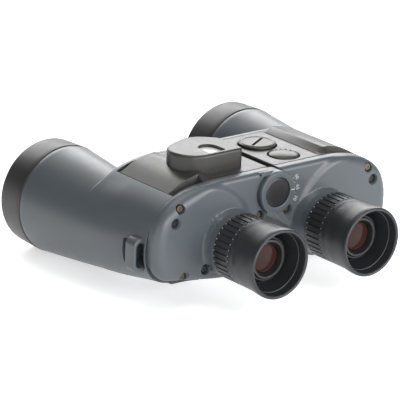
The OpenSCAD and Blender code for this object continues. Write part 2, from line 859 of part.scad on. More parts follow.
module button_spring() {
  z0 = deck_z - deck_t - wall + 0.2;
  color(steel) translate([button_x, button_y, z0]) difference() {
    cylinder(h = wall + button_travel - 0.02, r = 4);
    translate([0, 0, -1]) cylinder(h = 9, r = 3.4);
  }
}

module light_switch() {
  color(rubber_black) translate([button_x, button_y, deck_z - deck_t - wall]) {
    translate([0, 0, -2.6]) cylinder(h = 2.8, r = switch_well_r);
    cylinder(h = wall + 0.1, r = 1.6);
  }
}

// ---------------------------------------------------------------- strap lugs

lug_base = housing_reach + 0.1;
lug_low = -10.5;
lug_bar = 3;
y_lug = y_seam + 3;

module strap_lug(side) {
  color(paint_grey) on_side(side) difference() {
    translate([lug_base, y_lug, axis_z + lug_low])
      cube([slot_depth + lug_bar_t, lug_length, lug_height]);
    translate([lug_base - 1, y_lug - 1, axis_z + lug_low + lug_bar])
      cube([slot_depth + 1, lug_length + 2, lug_height - 2 * lug_bar]);
  }
}

// ---------------------------------------------------------------- drawing

left_body();
right_body();
rear_cover(LEFT);  // left_rear_cover
rear_cover(RIGHT);  // right_rear_cover
deck_plate(LEFT);  // left_deck_plate
deck_plate(RIGHT);  // right_deck_plate
hood(LEFT);  // left_hood
hood(RIGHT);  // right_hood
objective_cell(LEFT);  // left_objective_cell
objective_cell(RIGHT);  // right_objective_cell
objective_lens(LEFT);  // left_objective_lens
objective_lens(RIGHT);  // right_objective_lens
retaining_ring(LEFT);  // left_retaining_ring
retaining_ring(RIGHT);  // right_retaining_ring
rear_prism(LEFT);  // left_rear_prism
rear_prism(RIGHT);  // right_rear_prism
front_prism(LEFT);  // left_front_prism
front_prism(RIGHT);  // right_front_prism
prism_shelf(LEFT);  // left_prism_shelf
prism_shelf(RIGHT);  // right_prism_shelf
prism_clips(LEFT);  // left_prism_clips
prism_clips(RIGHT);  // right_prism_clips
eyepiece_tube(LEFT);  // left_eyepiece_tube
eyepiece_tube(RIGHT);  // right_eyepiece_tube
focus_ring(LEFT);  // left_focus_ring
focus_ring(RIGHT);  // right_focus_ring
eyecup(LEFT);  // left_eyecup
eyecup(RIGHT);  // right_eyecup
ocular_cell(LEFT);  // left_ocular_cell
ocular_cell(RIGHT);  // right_ocular_cell
eye_lens(LEFT);  // left_eye_lens
eye_lens(RIGHT);  // right_eye_lens
field_lens(LEFT);  // left_field_lens
field_lens(RIGHT);  // right_field_lens
color(brass) screw_set(LEFT, cover_screw_at, 0.6);  // left_cover_screws
color(brass) screw_set(RIGHT, cover_screw_at, 0.6);  // right_cover_screws
color(metal_dark) screw_set(LEFT, prism_screw_at, 0.8);  // left_prism_screws
color(metal_dark) screw_set(RIGHT, prism_screw_at, 0.8);  // right_prism_screws
strap_lug(LEFT);  // left_strap_lug
strap_lug(RIGHT);  // right_strap_lug
reticle();
hinge_axle();
hinge_bushes();
hinge_washers();
hinge_end_disc();
compass_housing();
compass_window();
compass_capsule();
compass_card();
compass_pivot();
compass_lamp();
battery_cap();
battery_cap_seal();
battery_holder();
button_cells();
battery_spring();
light_button();
button_spring();
light_switch();
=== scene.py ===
# %% [markdown]
# # Marine binoculars
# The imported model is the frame: it holds every part at its true size and place.
# This lesson gives the parts that show their finished shapes and finishes, and
# leaves the hidden ones, such as prisms and bushes, as they come.

import json
import math
import bmesh
import bpy
import numpy as np
from mathutils import Matrix, Vector


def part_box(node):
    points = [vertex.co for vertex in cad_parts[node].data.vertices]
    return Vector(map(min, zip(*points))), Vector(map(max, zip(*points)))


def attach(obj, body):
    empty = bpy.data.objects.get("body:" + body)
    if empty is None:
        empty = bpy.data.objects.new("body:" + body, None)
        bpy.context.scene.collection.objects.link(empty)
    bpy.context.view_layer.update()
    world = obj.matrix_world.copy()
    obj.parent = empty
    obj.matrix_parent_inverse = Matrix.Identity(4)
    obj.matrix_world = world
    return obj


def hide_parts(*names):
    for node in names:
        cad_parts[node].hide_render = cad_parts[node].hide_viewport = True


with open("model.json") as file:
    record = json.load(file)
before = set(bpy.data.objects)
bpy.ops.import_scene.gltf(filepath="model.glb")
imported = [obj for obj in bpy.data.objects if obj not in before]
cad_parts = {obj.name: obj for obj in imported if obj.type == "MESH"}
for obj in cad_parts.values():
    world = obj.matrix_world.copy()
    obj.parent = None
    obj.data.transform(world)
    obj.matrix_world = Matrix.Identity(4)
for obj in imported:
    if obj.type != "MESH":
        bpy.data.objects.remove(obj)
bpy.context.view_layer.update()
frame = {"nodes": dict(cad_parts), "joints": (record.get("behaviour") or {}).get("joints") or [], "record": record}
MM = 0.001
SIDES = {"left": -1, "right": 1}

# %% [markdown]
# ## Sizes taken from the frame
# The main places are read from the boxes of the parts, in millimetres, so the
# looks follow the design. X runs to the user's right, Y to the objectives, Z up.

# %% Read the main places


def box_mm(node):
    """Lowest and highest corner of a part, in millimetres."""
    low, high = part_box(node)
    return np.array(low) / MM, np.array(high) / MM


hood_low, hood_high = box_mm("right_hood")
cup_low, cup_high = box_mm("right_eyecup")
cover_low, cover_high = box_mm("right_rear_cover")
deck_high = box_mm("right_deck_plate")[1]
ring_low, ring_high = box_mm("right_focus_ring")
OBJ_X, AXIS_Z = (hood_low[0] + hood_high[0]) / 2, (hood_low[2] + hood_high[2]) / 2
EYE_X, EYE_Z = (cup_low[0] + cup_high[0]) / 2, (cup_low[2] + cup_high[2]) / 2
HOOD_R, RIM_R = (hood_high[0] - hood_low[0]) / 2, (cup_high[0] - cup_low[0]) / 2
Y_RIM, Y_CUP = cup_low[1], cup_high[1]
Y_FACE, Y_SEAM = cover_low[1], cover_high[1]
Y_HOOD = box_mm("right_body")[1][1]
Y_FRONT = hood_high[1]
Y_DECK = deck_high[1]
Y_SHOULDER = Y_DECK + 3.5
HINGE_Z = [j for j in frame["joints"] if j["name"] == "interpupillary_hinge"][0]["pos_m"][2] / MM
DECK_Z = box_mm("compass_lamp")[0][2] + 2
TOP = DECK_Z - AXIS_Z
REACH = cover_high[0]
cap_low, cap_high = box_mm("battery_cap")
button_low, button_high = box_mm("light_button")
CAP = ((cap_low[0] + cap_high[0]) / 2, (cap_low[1] + cap_high[1]) / 2)
BUTTON = ((button_low[0] + button_high[0]) / 2, (button_low[1] + button_high[1]) / 2)
DECK_EDGE = deck_high[0]
print(f"axes at x {EYE_X:.1f} and {OBJ_X:.1f} mm, deck at z {DECK_Z:.1f} mm")

# %% [markdown]
# ## Small mesh tools
# Most pieces are turned on a lathe or cut from a slab, so two helpers make
# them. Both round their corners in the profile itself, which gives every edge a
# thin highlight without a bevel modifier.

# %% Make a mesh piece


def piece(name, verts, faces, finish, crease=35.0):
    """A closed mesh from points in millimetres, with its normals outwards."""
    mesh = bpy.data.meshes.new(name)
    mesh.from_pydata([tuple(c * MM for c in v) for v in verts], [], faces)
    bm = bmesh.new()
    bm.from_mesh(mesh)
    bmesh.ops.remove_doubles(bm, verts=bm.verts, dist=1e-7)
    bmesh.ops.recalc_face_normals(bm, faces=bm.faces)
    if bm.calc_volume(signed=True) < 0:
        bmesh.ops.reverse_faces(bm, faces=bm.faces)
    bm.to_mesh(mesh)
    bm.free()
    mesh.polygons.foreach_set("use_smooth", [True] * len(mesh.polygons))
    mesh.set_sharp_from_angle(angle=math.radians(crease))
    mesh.materials.append(finish)
    obj = bpy.data.objects.new(name, mesh)
    bpy.context.scene.collection.objects.link(obj)
    return obj


CORNER_STEPS = 3


def softened(profile, radius):
    """The closed profile with each corner rounded by a short curve."""
    p = [np.array(q[:2], float) for q in profile]
    own = [q[2] if len(q) > 2 else radius for q in profile]
    out, n = [], len(p)
    for i in range(n):
        a, b, c = p[i - 1], p[i], p[(i + 1) % n]
        la, lc = np.linalg.norm(a - b), np.linalg.norm(c - b)
        r = min(own[i], 0.45 * la, 0.45 * lc)
        if r < 1e-3:
            out.append(b)
            continue
        s, e = b + (a - b) / la * r, b + (c - b) / lc * r
        for k in range(CORNER_STEPS + 1):
            t = k / CORNER_STEPS
            out.append((1 - t) ** 2 * s + 2 * t * (1 - t) * b + t * t * e)
    return out


AXIS_R = 0.01  # a profile that starts this near the axis makes a solid piece


def turned(name, x, z, profile, finish, radius=0.3, segments=128):
    """A piece turned about an axis along Y, from [radius, y] corners."""
    solid = profile[0][0] <= AXIS_R
    ring = softened([(*q[:2], 0.0) if q[0] <= AXIS_R else q for q in profile], radius)
    n = len(ring)
    verts, faces = [], []
    for s in range(segments):
        a = 2 * math.pi * s / segments
        verts += [(x + r * math.cos(a), y, z + r * math.sin(a)) for r, y in ring]
    for s in range(segments):
        a, b = s * n, (s + 1) % segments * n
        faces += [(a + i, a + (i + 1) % n, b + (i + 1) % n, b + i) for i in range(n - solid)]
    if solid:
        faces += [tuple(s * n + i for s in range(segments)) for i in (0, n - 1)]
    return piece(name, verts, faces, finish)


def shrunk(outline, d):
    """A closed outline moved inwards by d."""
    p = np.array(outline, float)
    area = np.sum(p[:, 0] * np.roll(p[:, 1], -1) - np.roll(p[:, 0], -1) * p[:, 1])
    a, b = p - np.roll(p, 1, 0), np.roll(p, -1, 0) - p
    a /= np.linalg.norm(a, axis=1)[:, None] + 1e-12
    b /= np.linalg.norm(b, axis=1)[:, None] + 1e-12
    m = a + b
    side = np.stack([m[:, 1], -m[:, 0]], 1) * (-1 if area > 0 else 1)
    return p + side * (d / np.maximum(1 + np.sum(a * b, axis=1), 0.35))[:, None]


def slab(name, outline, low, high, finish, edge=0.5, bottom_edge=None, place=None, steps=4, cuts=()):
    """An outline run from low to high with rounded rims. place turns (u, v, t) into (x, y, z)."""
    place = place or (lambda u, v, t: (u, v, t))
    bottom_edge = edge if bottom_edge is None else bottom_edge
    rings = []
    for k in range(steps + 1):
        a = math.pi / 2 * k / steps
        rings.append((bottom_edge * (1 - math.sin(a)), low + bottom_edge * (1 - math.cos(a))))
    rings += [(0.0, t) for t in cuts]
    for k in range(steps + 1):
        a = math.pi / 2 * k / steps
        rings.append((edge * (1 - math.cos(a)), high - edge * (1 - math.sin(a))))
    n = len(outline)
    verts, faces = [], []
    for inward, t in rings:
        verts += [place(u, v, t) for u, v in shrunk(outline, inward)]
    for k in range(len(rings) - 1):
        for i in range(n):
            j = (i + 1) % n
            faces.append((k * n + i, k * n + j, (k + 1) * n + j, (k + 1) * n + i))
    faces.append(tuple(range(n)))
    faces.append(tuple((len(rings) - 1) * n + i for i in range(n)))
    return piece(name, verts, faces, finish)


def cut(target, tools):
    """Cuts the tool pieces out of the target, and clears the tools away."""
    for tool in tools:
        cutter = target.modifiers.new("cut", "BOOLEAN")
        cutter.operation = "DIFFERENCE"
        cutter.solver = "MANIFOLD"
        cutter.object = tool
    bpy.context.view_layer.update()
    graph = bpy.context.evaluated_depsgraph_get()
    mesh = bpy.data.meshes.new_from_object(target.evaluated_get(graph))
    target.modifiers.clear()
    mesh.materials.clear()
    mesh.materials.append(target.data.materials[0])
    target.data = mesh
    mesh.set_sharp_from_angle(angle=math.radians(35))
    for tool in tools:
        bpy.data.objects.remove(tool)
    return target


def curve_through(points, steps=12):
    """A smooth curve through a few chosen points."""
    p = [np.array(q, float) for q in points]
    out = []
    for i in range(len(p) - 1):
        a, b, c, d = p[max(i - 1, 0)], p[i], p[i + 1], p[min(i + 2, len(p) - 1)]
        for k in range(steps):
            t = k / steps
            out.append(0.5 * (2 * b + (c - a) * t + (2 * a - 5 * b + 4 * c - d) * t * t
                              + (3 * b - a - 3 * c + d) * t ** 3))
    return out + [p[-1]]


# %% [markdown]
# ## Finishes
# Every finish is a Principled shader with its grain, tone and roughness worked
# out from noise on Object coordinates, so it stays with its piece.

# %% A finish with grain


def finish_of(name, color, rough, grain=0.0, grain_size=0.5, tint=0.04, spread=0.06, metal=0.0):
    """Painted, moulded or machined surface. Sizes are in millimetres."""
    mat = bpy.data.materials.new(name)
    mat.use_nodes = True
    nodes, links = mat.node_tree.nodes, mat.node_tree.links
    shader = nodes["Principled BSDF"]
    shader.inputs["Metallic"].default_value = metal
    place = nodes.new("ShaderNodeTexCoord")
    broad = nodes.new("ShaderNodeTexNoise")
    broad.inputs["Scale"].default_value = 60
    broad.inputs["Detail"].default_value = 4
    links.new(place.outputs["Object"], broad.inputs["Vector"])
    blend = nodes.new("ShaderNodeMix")
    blend.data_type = "RGBA"
    blend.inputs["A"].default_value = (*[c * (1 - tint) for c in color], 1)
    blend.inputs["B"].default_value = (*[min(c * (1 + tint), 1) for c in color], 1)
    links.new(broad.outputs["Fac"], blend.inputs["Factor"])
    top = blend.outputs["Result"]
    links.new(top, shader.inputs["Base Color"])
    uneven = nodes.new("ShaderNodeTexNoise")
    uneven.inputs["Scale"].default_value = 220
    uneven.inputs["Detail"].default_value = 3
    links.new(place.outputs["Object"], uneven.inputs["Vector"])
    range_ = nodes.new("ShaderNodeMapRange")
    range_.inputs["To Min"].default_value = max(rough - spread, 0.02)
    range_.inputs["To Max"].default_value = min(rough + spread, 1.0)
    links.new(uneven.outputs["Fac"], range_.inputs["Value"])
    links.new(range_.outputs["Result"], shader.inputs["Roughness"])
    if grain:
        fine = nodes.new("ShaderNodeTexNoise")
        fine.inputs["Scale"].default_value = 1000 / grain_size
        fine.inputs["Detail"].default_value = 2
        links.new(place.outputs["Object"], fine.inputs["Vector"])
        bump = nodes.new("ShaderNodeBump")
        bump.inputs["Strength"].default_value = grain
        bump.inputs["Distance"].default_value = 0.0001
        links.new(fine.outputs["Fac"], bump.inputs["Height"])
        links.new(bump.outputs["Normal"], shader.inputs["Normal"])
    return mat


def glass_of(name, color, coat_tint=None):
    """Optical glass, with a broad faint unevenness in its coating."""
    mat = finish_of(name, color, 0.02, tint=0.03, spread=0.01)
    shader = mat.node_tree.nodes["Principled BSDF"]
    shader.inputs["Transmission Weight"].default_value = 1.0
    shader.inputs["IOR"].default_value = 1.52
    if coat_tint:
        shader.inputs["Specular Tint"].default_value = (*coat_tint, 1)
    return mat


PAINT = finish_of("paint_grey", (0.062, 0.073, 0.082), 0.38, grain=0.10, grain_size=0.7)
DECK = finish_of("deck_black", (0.024, 0.023, 0.022), 0.38, grain=0.35, grain_size=0.35, tint=0.15)
HOOD = finish_of("hood_black", (0.016, 0.0155, 0.0155), 0.45, grain=0.12, grain_size=0.5, tint=0.1)
RUBBER = finish_of("rubber_black", (0.016, 0.017, 0.020), 0.4, grain=0.15, grain_size=0.4, tint=0.12)
BLACK_METAL = finish_of("black_metal", (0.012, 0.012, 0.013), 0.32, grain=0.05, tint=0.2)
DISC = finish_of("disc_black", (0.012, 0.012, 0.014), 0.38, grain=0.1, grain_size=0.3, tint=0.2)
STEEL = finish_of("steel", (0.5, 0.5, 0.52), 0.3, grain=0.1, metal=1.0)
BRASS = finish_of("brass_screw", (0.15, 0.125, 0.085), 0.42, grain=0.15, tint=0.25, metal=1.0)
BRONZE = finish_of("bronze", (0.45, 0.3, 0.14), 0.4, grain=0.1, metal=1.0)
WHITE = finish_of("diffuser_white", (0.86, 0.86, 0.84), 0.35, grain=0.03, tint=0.02)
# Grey-white for the printed index, ticks and numbers, and also for the painted highlights at the grip grooves'
# ends.
PRINT_AND_HIGHLIGHT = finish_of("print_and_highlight_white", (0.4, 0.41, 0.41), 0.5, tint=0.1)
# Painted shade on the eye lens: an opaque dark red-brown stands in for the dark inside seen through the glass,
# tinted with the coating's reddish colour.
EYE_GLASS = finish_of("coated_lens", (0.026, 0.009, 0.0075), 0.13, tint=0.12, spread=0.03)
EYE_GLASS.node_tree.nodes["Principled BSDF"].inputs["Specular IOR Level"].default_value = 0.2
LENS = glass_of("lens_glass", (0.9, 0.95, 0.92), coat_tint=(0.6, 0.9, 0.75))
PRISM = glass_of("prism_glass", (0.93, 0.96, 0.97))
CLEAR = glass_of("capsule_clear", (0.95, 0.97, 0.97))
PLASTIC = finish_of("black_plastic", (0.02, 0.02, 0.02), 0.5, grain=0.1)
FINISH_OF_SLOT = {
    "paint_grey": PAINT, "deck_black": DECK, "hood_black": HOOD, "rubber_black": RUBBER,
    "black_metal": BLACK_METAL, "lens_glass": LENS, "coated_lens": EYE_GLASS,
    "prism_glass": PRISM, "steel": STEEL, "brass_screw": BRASS, "bronze": BRONZE,
    "diffuser_white": WHITE, "capsule_clear": CLEAR, "black_plastic": PLASTIC}
for part in frame["record"]["subparts"]:
    node = frame["nodes"][part["node"]]
    node.data.materials.clear()
    node.data.materials.append(FINISH_OF_SLOT[part["material_slot"]])
print(len(FINISH_OF_SLOT), "finishes")

# %% [markdown]
# ## The outline of one half
# Seen from behind, each half is a rounded wing: flat under the deck, round at
# the side and belly, then up round the eyepiece to the hinge. A smooth curve
# runs through a few points measured from the named edges.

# %% Outline of a half
LEFT_GAP, RIGHT_GAP = 0.3, 3.9
NOTCH = (3.2, HINGE_Z - AXIS_Z - 13.9)
BELLY = 17.3
EYE_RISE = EYE_Z - AXIS_Z
BOSS_R = 21.0


def skin_curve(side):
    gap = LEFT_GAP if side < 0 else RIGHT_GAP
    return curve_through([
        (gap, TOP), (26, TOP), (DECK_EDGE - 22, TOP - 0.2), (DECK_EDGE - 10, TOP - 1.9),
        (DECK_EDGE, TOP - 5.2), (REACH - 8.6, TOP - 10.2), (REACH - 3.5, TOP - 16),
        (REACH - 0.6, TOP - 24), (REACH, TOP - 32), (REACH - 0.9, 11.9 - BELLY),
        (REACH - 3.8, 6 - BELLY), (REACH - 9.6, 1.9 - BELLY), (REACH - 20.8, -BELLY),
        (EYE_X + 13.5, -1.9 - BELLY)])


def half_outline(side, hinge_cut, under_deck=0.0):
    """The outline in x and height above the objective axis, with a round bay for the hinge."""
    out = [(x, h - (under_deck if x < DECK_EDGE else 0)) for x, h in skin_curve(side)]
    for k in range(31):
        a = math.radians(-86 - k * 94 / 30)
        out.append((EYE_X + BOSS_R * math.cos(a), EYE_RISE + BOSS_R * math.sin(a)))
    out.append(NOTCH)
    hinge_w = HINGE_Z - AXIS_Z
    gap = out[0][0]
    low = math.asin(-math.sqrt(hinge_cut ** 2 - NOTCH[0] ** 2) / hinge_cut)
    top = math.pi / 2 - math.asin(gap / hinge_cut)
    for k in range(25):
        a = low + (top - low) * k / 24
        out.append((hinge_cut * math.cos(a), hinge_w + hinge_cut * math.sin(a)))
    return np.array(out)


print("outline points:", len(half_outline(1, 9.8)))

# %% [markdown]
# ## Castings
# Housing and barrel are one casting. Its skin is a stack of rings along Y. Each
# ring is the smooth union of the housing's outline and the barrel's circle,
# measured as distances from a point inside both. Solidify then gives the wall.

# %% Skin of a casting
CORE = np.array([56.0, 8.0])
lug_low, lug_high = box_mm("right_strap_lug")
# the pocket behind a strap lug: its ends along Y, its heights and its shallow floor's x
POCKET = [(max(lug_low[1] - 2, Y_SEAM + 1), lug_high[1] + 5.5),
          (lug_low[2] + 3 - AXIS_Z, lug_high[2] - 3 - AXIS_Z), lug_low[0] - 1]
BLEND = 7.0
HOLDER_WAY = 9.2


def reach_from(outline, core, angles):
    """Distance from a core point to the outline in each direction."""
    d = np.stack([np.cos(angles), np.sin(angles)], 1)
    a, b = outline - core, np.roll(outline, -1, 0) - core
    e = b - a
    det = e[None, :, 0] * d[:, None, 1] - d[:, None, 0] * e[None, :, 1]
    det = np.where(np.abs(det) < 1e-12, 1e-12, det)
    t = (e[None, :, 0] * a[None, :, 1] - e[None, :, 1] * a[None, :, 0]) / det
    s = (d[:, None, 0] * a[None, :, 1] - d[:, None, 1] * a[None, :, 0]) / det
    hit = (t > 0) & (s > -1e-6) & (s < 1 + 1e-6)
    return np.where(hit, t, 1e9).min(1)


def circle_reach(radius, angles):
    """Distance from CORE to the barrel's circle in each direction."""
    c = np.array([OBJ_X, 0.0]) - CORE
    along = c[0] * np.cos(angles) + c[1] * np.sin(angles)
    return along + np.sqrt(np.maximum(radius ** 2 - c @ c + along ** 2, 0))


def over_holder(corners):
    """Whether a face of the skin lies where the battery cap goes down."""
    x, y, z = np.mean(corners, axis=0)
    return z > AXIS_Z + 20 and math.hypot(x - CAP[0], y - CAP[1]) < HOLDER_WAY


def soft_union(a, b, width):
    h = np.clip(width - np.abs(a - b), 0, None) / width
    return np.maximum(a, b) + h * h * width / 4


barrel_line = curve_through([
    (Y_SEAM, 17.6), (Y_SEAM + 27, 23.3), (Y_SHOULDER, 26.4),
    ((Y_SHOULDER + Y_HOOD) / 2, 28.9), (Y_HOOD, 31.1)], 16)
barrel_y, barrel_r = np.array(barrel_line).T


def casting(side_name):
    side = SIDES[side_name]
    outline = half_outline(side, 9.8)
    rel = outline - CORE
    angles = np.sort(np.unique(np.round(np.concatenate([
        np.arctan2(rel[:, 1], rel[:, 0]), np.linspace(-math.pi, math.pi, 160, endpoint=False),
        np.linspace(-0.62, 0.06, 40)]), 4)))
    housing = reach_from(outline, CORE, angles)
    under_deck = reach_from(half_outline(side, 9.8, 2.05), CORE, angles)
    round_r, wall_steps = 1.2, 9
    stations = [(Y_SEAM, 0.2), (Y_SEAM + 0.1, 0.05), (Y_SEAM + 0.2, 0.0), (Y_SEAM + 0.45, 0.0)]
    stations += [(y, 0.0) for y in np.linspace(Y_SEAM + 2, Y_SHOULDER - round_r, 26)]
    for end in (*POCKET[0], lug_high[1], Y_DECK + 0.3):
        stations += [(end - 0.1, 0.0), (end + 0.1, 0.0)]
    stations.sort()
    for k in range(1, 7):
        a = math.pi / 2 * k / 6
        stations.append((Y_SHOULDER - round_r * (1 - math.sin(a)), round_r * (1 - math.cos(a))))
    for k in range(1, wall_steps + 1):
        stations.append((Y_SHOULDER + 0.15 * k, round_r + 60.0 * (k / wall_steps) ** 1.5))
    stations += [(y, 90.0) for y in np.linspace(Y_SHOULDER + 3, Y_HOOD - 0.6, 18)]
    stations += [(Y_HOOD - 0.25, 90.15), (Y_HOOD, 90.6)]
    verts, faces = [], []
    for y, inward in stations:
        groove = inward - 90 if inward >= 90 else (inward if y < Y_SEAM + 1 else 0)
        r = np.interp(y, barrel_y, barrel_r) - groove
        skin = under_deck if y < Y_DECK + 0.3 else housing
        width = np.interp(y, (0, Y_SHOULDER - 6), (BLEND, 3.0))
        reach = soft_union(np.maximum(skin - inward, 0.5), circle_reach(r, angles), width)
        if POCKET[0][0] < y < POCKET[0][1]:
            height = CORE[1] + reach * np.sin(angles)
            beside = (height > POCKET[1][0]) & (height < POCKET[1][1]) & (np.cos(angles) > 0.5)
            floor_x = POCKET[2] - (4 if y < lug_high[1] else 0)
            reach = np.where(beside, np.minimum(reach, (floor_x - CORE[0]) / np.cos(angles)), reach)
        for d, a in zip(reach, angles):
            verts.append((side * (CORE[0] + d * math.cos(a)), y, AXIS_Z + CORE[1] + d * math.sin(a)))
    n = len(angles)
    for k in range(len(stations) - 1):
        for i in range(n):
            j = (i + 1) % n
            faces.append((k * n + i, k * n + j, (k + 1) * n + j, (k + 1) * n + i))
    faces = [f for f in faces if not over_holder([verts[i] for i in f])]
    shell = piece(side_name + "_casting", verts, faces, PAINT, crease=40)
    wall = shell.modifiers.new("wall", "SOLIDIFY")
    wall.thickness = 1.6 * MM
    wall.offset = -1
    return shell


castings = {s: casting(s) for s in SIDES}
print("casting faces:", len(castings["left"].data.polygons))

# %% [markdown]
# ## Rear covers
# A cover is one pressing whose face is a height field: a big round field, a
# hollow slope down to the hinge side, a soft rise into the eyepiece flange and
# a rounded edge. The field is worked out on rays from a point inside it.

# %% Make a rear cover
FIELD = np.array([EYE_X + 16, 2.7])
FIELD_R = 29.0
STEP = 2.0
COVER_CORE = np.array([50.0, 19.0])


def edge_distance(points, outline):
    """Distance from each point to the nearest side of the outline, the hinge's bay apart."""
    a, b = outline, np.roll(outline, -1, 0)
    bay = [np.hypot(p[:, 0], p[:, 1] - HINGE_Z + AXIS_Z) < 12.6 for p in (a, b)]
    a, b = a[~(bay[0] & bay[1])], b[~(bay[0] & bay[1])]
    ab = b - a
    t = np.einsum("pij,ij->pi", points[:, None] - a[None], ab) / (np.sum(ab * ab, 1) + 1e-12)
    near = a[None] + np.clip(t, 0, 1)[..., None] * ab[None]
    return np.sqrt(np.min(np.sum((points[:, None] - near) ** 2, 2), 1))


def ease(t):
    t = np.clip(t, 0, 1)
    return t * t * (3 - 2 * t)


def cover_face(x, h, d):
    """Y of the cover's face at a place that is d from its outline."""
    out = np.hypot(x - FIELD[0], h - FIELD[1])
    low = STEP * ease((out - FIELD_R) / 4.6) * ease((FIELD[0] + 1 - x) / 11.0)
    y = Y_FACE + low + 0.008 * np.maximum(out - 12, 0)
    edge = 3.0 + 3.4 * ease((x - 38) / 24)
    y = y + edge - np.sqrt(edge ** 2 - np.clip(edge - d, 0, edge) ** 2)
    rise = Y_FACE - 7.5 + 5.0 * (np.hypot(x - EYE_X, h - EYE_RISE) - 17.2)
    return np.maximum(-soft_union(-y, -rise, 3.0), Y_FACE - 6.5)


def rear_cover(side_name):
    side = SIDES[side_name]
    base = half_outline(side, 12.4)
    start = max(base[0][0], 2.6)
    base = np.array([p for p in base if not (p[0] < start and p[1] > HINGE_Z - AXIS_Z + 11)])
    outline = np.concatenate([[[start, TOP]], base[1:]])
    rel = outline - COVER_CORE
    angles = np.sort(np.unique(np.round(np.concatenate([
        np.arctan2(rel[:, 1], rel[:, 0]), np.linspace(-math.pi, math.pi, 200, endpoint=False)]), 4)))
    reach = reach_from(outline, COVER_CORE, angles)
    fractions = list(np.linspace(0.04, 0.74, 26)) + [1 - 0.26 * (1 - k / 22) ** 1.35 for k in range(1, 23)]
    verts, faces = [], []
    n = len(angles)
    for f in fractions:
        pts = COVER_CORE + (reach * f)[:, None] * np.stack([np.cos(angles), np.sin(angles)], 1)
        away = edge_distance(pts, outline)
        y = cover_face(pts[:, 0], pts[:, 1], away)
        verts += [(side * px, py, AXIS_Z + ph) for (px, ph), py in zip(pts, y)]
    edge = COVER_CORE + reach[:, None] * np.stack([np.cos(angles), np.sin(angles)], 1)
    centre = np.array([edge[:, 0].mean(), edge[:, 1].mean()])
    for y, inward in ((Y_SEAM - 0.6, 0), (Y_SEAM - 0.35, 0), (Y_SEAM - 0.2, 0.06), (Y_SEAM - 0.12, 0.25)):
        for p in edge:
            away = (centre - p) / np.linalg.norm(centre - p) * inward
            verts.append((side * (p[0] + away[0]), y, AXIS_Z + p[1] + away[1]))
    rows = len(fractions) + 4
    for k in range(rows - 1):
        for i in range(n):
            j = (i + 1) % n
            faces.append((k * n + i, k * n + j, (k + 1) * n + j, (k + 1) * n + i))
    faces.append(tuple(range(n)))
    faces.append(tuple((rows - 1) * n + i for i in range(n)))
    cover = piece(side_name + "_cover", verts, faces, PAINT, crease=40)
    tools = [turned("way", side * EYE_X, EYE_Z, [(0.01, Y_FACE - 9), (15.2, Y_FACE - 9),
                                                (15.2, Y_SEAM + 2), (0.01, Y_SEAM + 2)], PAINT, 0)]
    for x, h, lower in SCREWS:
        y = Y_FACE + lower
        tools.append(turned("recess", side * x, AXIS_Z + h, [
            (0.01, y - 5), (3.6, y - 5), (3.2, y), (2.75, y + 0.5), (2.75, y + 3.3), (0.01, y + 3.3)],
            PAINT, 0.1, 40))
    return cut(cover, tools)


SCREWS = [(DECK_EDGE + 0.8, TOP - 10.2, 0.0), (REACH - 20.1, 2.9 - BELLY, 1.6),
          (9.9, HINGE_Z - AXIS_Z - 12.4, STEP + 0.6), (DECK_EDGE + 4.2, TOP - 17.7, 0.6),
          (EYE_X + 16.1, 5.1 - BELLY, 0.2)]
covers = {s: rear_cover(s) for s in SIDES}
print("cover faces:", len(covers["left"].data.polygons))

# %% [markdown]
# ## Hinge
# Knuckles from both castings turn on the axle. The left casting ends in a
# collar that sits between the covers, with a black disc over the axle's end.

# %% Make the hinge


def hinge_part(name, y0, y1, side):
    """A knuckle that leans into its own casting, so that no gap shows on that side."""
    outline = []
    for k in range(96):
        a = 2 * math.pi * k / 96
        own = ease((side * math.cos(a) + 0.2) / 0.9)
        r = 9.5 + 0.9 * float(own)
        outline.append((r * math.cos(a), HINGE_Z + r * math.sin(a)))
    return slab(name, outline, y0, y1, PAINT, edge=0.3, place=lambda u, v, t: (u, t, v))


knuckles = {
    "left_rear_knuckle": hinge_part("left_rear_knuckle", Y_SEAM - 0.1, Y_SEAM + 19, -1),
    "left_front_knuckle": hinge_part("left_front_knuckle", Y_SEAM + 41, Y_SHOULDER + 3, -1),
    "right_knuckle": hinge_part("right_knuckle", Y_SEAM + 19.5, Y_SEAM + 40.5, 1)}
Y_COLLAR = Y_FACE - 0.9
collar = turned("hinge_collar", 0, HINGE_Z, [
    (8.45, Y_COLLAR + 0.9), (8.45, Y_COLLAR + 0.2), (8.8, Y_COLLAR), (11.5, Y_COLLAR),
    (12.1, Y_COLLAR + 0.7), (12.1, Y_SEAM + 0.2), (8.45, Y_SEAM + 0.2)], PAINT, 0.3)
disc = turned("hinge_disc", 0, HINGE_Z, [
    (0.01, Y_COLLAR + 0.35), (7.6, Y_COLLAR + 0.35), (8.25, Y_COLLAR + 0.75),
    (8.25, Y_COLLAR + 2), (0.01, Y_COLLAR + 2)], DISC, 0.15)
HINGE_W = HINGE_Z - AXIS_Z
fairing = slab("hinge_fairing", softened([
    (-11.5, TOP - 0.2), (-0.2, TOP - 0.2), (-0.2, HINGE_W + 8.8), (-5.5, HINGE_W + 8.8),
    (-7.6, HINGE_W + 9.6)], 1.0), Y_COLLAR + 2.2, Y_SEAM + 0.4, PAINT, edge=1.8, bottom_edge=0.3,
    place=lambda u, v, t: (u, Y_COLLAR + 2.6 + Y_SEAM - t, AXIS_Z + v))
index_mark = slab("index_mark", [(9.3, -0.25), (11.6, -0.25), (11.6, 0.25), (9.3, 0.25)],
                  -0.03, 0.1, PRINT_AND_HIGHLIGHT, edge=0.02,
                  place=lambda u, v, t: (u, Y_COLLAR - t, HINGE_Z + v))

# %% [markdown]
# ## Hoods and objectives
# Turned sleeves screwed to the barrels, ridged inside against stray light. The
# domed objective sits in its blackened cell.

# %% Make the hoods


